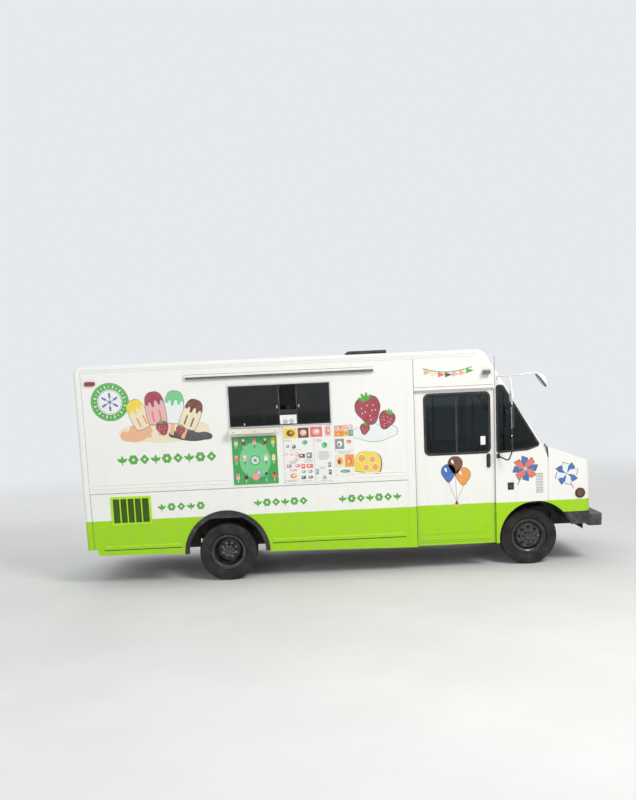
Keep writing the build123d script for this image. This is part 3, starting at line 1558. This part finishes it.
# Marker, turn and tail lamps
side_marker = (rear_end + 217, 2632)
with BuildPart() as marker_lamps:
    for side in (-1, 1):
        rod(
            (side_lamp[0], side * nose_half, side_lamp[1]),
            (side_lamp[0], side * (nose_half + 16), side_lamp[1]),
            side_lamp_radius,
        )
        with BuildSketch(Plane.XZ.offset(-side * half_width)):
            with Locations(side_marker):
                SlotOverall(138, 54)
        extrude(amount=-side * 22)
        with BuildSketch(Plane.YZ.offset(nose_front_x)):
            with Locations((side * headlamp_y, headlamp_z - bezel / 2 - 45)):
                RectangleRounded(170, 60, 12)
        extrude(amount=12)
    for lamp_y, lamp_z in tail_lamps:
        rod(
            (rear_skin_x - 8, lamp_y, lamp_z),
            (rear_skin_x + wall, lamp_y, lamp_z),
            lamp_hole_radius - seat_gap,
        )
    marker_up = (2680 - glass_foot_z) / cos(radians(glass_rake))
    for marker_y in (-980, -140, 0, 140, 980):
        with BuildSketch(glass_plane):
            with Locations((marker_y, marker_up)):
                SlotOverall(90, 34)
        extrude(amount=18)
save(marker_lamps, "marker_lamps")

# Mirrors: a tube arm with a round mirror far forward, and a post with a flat and a small round one
mirror_y = half_width + 300
arm_radius = 9
with BuildPart() as mirrors:
    for side in (-1, 1):
        arm_route = [
            (front_axle_x - 439, side * (half_width + 8), 2492),
            (front_axle_x - 400, side * (half_width + 110), 2496),
            (front_axle_x - 209, side * mirror_y, 2505),
            (front_axle_x - 20, side * mirror_y, 2530),
            (front_axle_x + 63, side * mirror_y, 2480),
        ]
        post_route = [
            (front_axle_x - 309, side * (mirror_y - 99.5), 2500),
            (front_axle_x - 300, side * (mirror_y - 50), 2300),
            (front_axle_x - 300, side * (mirror_y - 50), 1560),
            (front_axle_x - 330, side * (half_width + 150), 1425),
            (front_axle_x - 430, side * (half_width + 8), 1480),
        ]
        for route, bend in ((arm_route, 40), (post_route, 60)):
            with BuildLine() as mirror_path:
                FilletPolyline(*route, radius=bend)
            with BuildSketch(Plane(origin=mirror_path.line @ 0, z_dir=mirror_path.line % 0)):
                Circle(arm_radius)
            sweep(path=mirror_path.line)
        for foot_x, foot_z in ((front_axle_x - 439, 2492), (front_axle_x - 430, 1480)):
            block(
                (foot_x - 22, foot_x + 22),
                (side * half_width, side * (half_width + 8)),
                (foot_z - 30, foot_z + 30),
            )
        bowl = Plane(
            origin=(front_axle_x + 63, side * mirror_y, 2433), x_dir=(0, 1, 0), z_dir=(-0.8, 0, -0.6)
        )
        with BuildSketch(bowl):
            Circle(105)
        extrude(amount=12)
        with BuildSketch(bowl):
            Circle(105)
        extrude(amount=-34, taper=40)
        flat = Plane(
            origin=(front_axle_x - 318, side * (mirror_y - 50), 1983), x_dir=(0, 1, 0), z_dir=(-1, 0, 0)
        )
        with BuildSketch(flat):
            RectangleRounded(180, 286, 16)
        extrude(amount=-26, taper=8)
        with BuildSketch(flat):
            with Locations((0, -257)):
                Circle(72)
        extrude(amount=-26, taper=20)
save(mirrors, "mirrors")

# Engine cover in the cab
cover_sheet = 20
cover_top_z = 1160
with BuildPart() as engine_cover:
    block((cover_rear_x, cowl_x - wall), (-cover_half, cover_half), (floor_top_z, cover_top_z))
    fillet(engine_cover.edges().filter_by(Axis.X).group_by(Axis.Z)[-1], 60)
    fillet(engine_cover.edges().filter_by(Axis.Z).group_by(Axis.X)[0], 60)
    block(
        (cover_rear_x + cover_sheet, cowl_x),
        (-cover_half + cover_sheet, cover_half - cover_sheet),
        (0, cover_top_z - cover_sheet),
        Mode.SUBTRACT,
    )
save(engine_cover, "engine_cover")

# Dashboard with the instrument hood, its shelf and the steering column
wheel_centre = (front_axle_x - 330, 600, 1330)
column_foot = (front_axle_x + 60, 600, 1190)
dash_half = 1100
with BuildPart() as dashboard:
    with BuildSketch(Plane.XZ):
        with BuildLine():
            Polyline(
                (cowl_x - wall, 1170),
                (cowl_x - wall, 1470),
                (cowl_x - 150, 1470),
                (cowl_x - 250, 1420),
                (cowl_x - 270, 1280),
                (cowl_x - 120, 1170),
                close=True,
            )
        make_face()
    extrude(amount=dash_half, both=True)
    with BuildSketch(Plane.XZ.offset(-wheel_centre[1])):
        with BuildLine():
            Polyline(
                (cowl_x - 230, 1400),
                (cowl_x - 300, 1420),
                (cowl_x - 290, 1500),
                (cowl_x - 170, 1490),
                (cowl_x - 140, 1460),
                close=True,
            )
        make_face()
    extrude(amount=190, both=True)
    rod(column_foot, wheel_centre, 26)
save(dashboard, "dashboard")

wheel_axis = Vector(*wheel_centre) - Vector(*column_foot)
steering_plane = Plane(origin=wheel_centre, x_dir=(0, 1, 0), z_dir=wheel_axis)
wheel_ring = 200
with BuildPart() as steering_wheel:
    with Locations(steering_plane.offset(35)):
        Torus(wheel_ring, 13)
    with Locations(steering_plane):
        Cylinder(38, 50, align=(Align.CENTER, Align.CENTER, Align.MIN))
    with BuildSketch(steering_plane.offset(28)):
        with PolarLocations(0, 3, start_angle=90):
            with Locations((wheel_ring / 2, 0)):
                Rectangle(wheel_ring, 26)
    extrude(amount=12)
save(steering_wheel, "steering_wheel")

# Driver's seat on its pedestal
seat_x = (front_axle_x - 1150, front_axle_x - 650)
seat_y = (430, 890)
with BuildPart() as driver_seat:
    block((seat_x[0] + 120, seat_x[1] - 100), (seat_y[0] + 90, seat_y[1] - 130), (floor_top_z, 1130))
    with BuildSketch(Plane.XY.offset(1130)):
        with Locations(((seat_x[0] + seat_x[1]) / 2, (seat_y[0] + seat_y[1]) / 2)):
            RectangleRounded(seat_x[1] - seat_x[0], seat_y[1] - seat_y[0], 60)
    extrude(amount=130)
    with BuildSketch(Plane.XZ.offset(-seat_y[0] - 20)):
        with BuildLine():
            Polyline(
                (seat_x[0] + 10, 1240),
                (seat_x[0] + 130, 1240),
                (seat_x[0] + 40, 1900),
                (seat_x[0] - 70, 1900),
                close=True,
            )
        make_face()
    extrude(amount=-(seat_y[1] - seat_y[0] - 40))
    fillet(driver_seat.faces().sort_by(Axis.Z)[-1].edges(), 35)
save(driver_seat, "driver_seat")

# Serving counter under the window, soft-serve machine and freezer
counter_x = (rear_axle_x + 345, rear_axle_x + 1434)
counter_y = (-inner_half, -560)
counter_z = (floor_top_z, 1700)
with BuildPart() as counter:
    block(counter_x, (counter_y[0], counter_y[1] - 20), (counter_z[0] + 90, counter_z[1] - 40))
    block(
        (counter_x[0] + 20, counter_x[1] - 20),
        (counter_y[0], counter_y[1] - 80),
        (counter_z[0], counter_z[0] + 90),
    )
    block(
        (counter_x[0] - 15, counter_x[1] + 15),
        (counter_y[0], counter_y[1]),
        (counter_z[1] - 40, counter_z[1]),
    )
    counter_doors = 3
    door_pitch = (counter_x[1] - counter_x[0]) / counter_doors
    for index in range(counter_doors):
        block(
            (counter_x[0] + index * door_pitch + 12, counter_x[0] + (index + 1) * door_pitch - 12),
            (counter_y[1] - 20, counter_y[1] - 8),
            (counter_z[0] + 110, counter_z[1] - 70),
        )
save(counter, "counter")

machine_x = (rear_axle_x + 450, rear_axle_x + 1000)
machine_y = (430, 1100)
with BuildPart() as soft_serve_machine:
    block(machine_x, machine_y, (floor_top_z + 100, 2150))
    fillet(soft_serve_machine.edges().filter_by(Axis.Z), 20)
    for foot_x in (machine_x[0] + 50, machine_x[1] - 50):
        for foot_y in (machine_y[0] + 60, machine_y[1] - 60):
            rod((foot_x, foot_y, floor_top_z), (foot_x, foot_y, floor_top_z + 100), 25)
    for spout in range(3):
        spout_x = machine_x[0] + 125 + spout * 150
        rod((spout_x, machine_y[0], 1700), (spout_x, machine_y[0] - 60, 1700), 45)
        rod((spout_x, machine_y[0] - 48, 1740), (spout_x, machine_y[0] - 48, 1610), 20)
    block((machine_x[0] + 40, machine_x[1] - 40), (machine_y[0] - 130, machine_y[0]), (1330, 1360))
    for hopper in range(2):
        hopper_x = machine_x[0] + 150 + hopper * 250
        rod((hopper_x, 760, 2150), (hopper_x, 760, 2200), 90)
save(soft_serve_machine, "soft_serve_machine")

freezer_x = (rear_axle_x - 1560, rear_axle_x - 420)
freezer_y = (470, 1110)
with BuildPart() as freezer:
    block(freezer_x, freezer_y, (floor_top_z, 1620))
    fillet(freezer.edges().filter_by(Axis.Z), 30)
    block((freezer_x[0] - 10, freezer_x[1] + 10), (freezer_y[0] - 15, freezer_y[1]), (1626, 1690))
    block((freezer_x[0] + 10, freezer_x[1] - 10), (freezer_y[0] + 10, freezer_y[1] - 10), (1600, 1630))
save(freezer, "freezer")
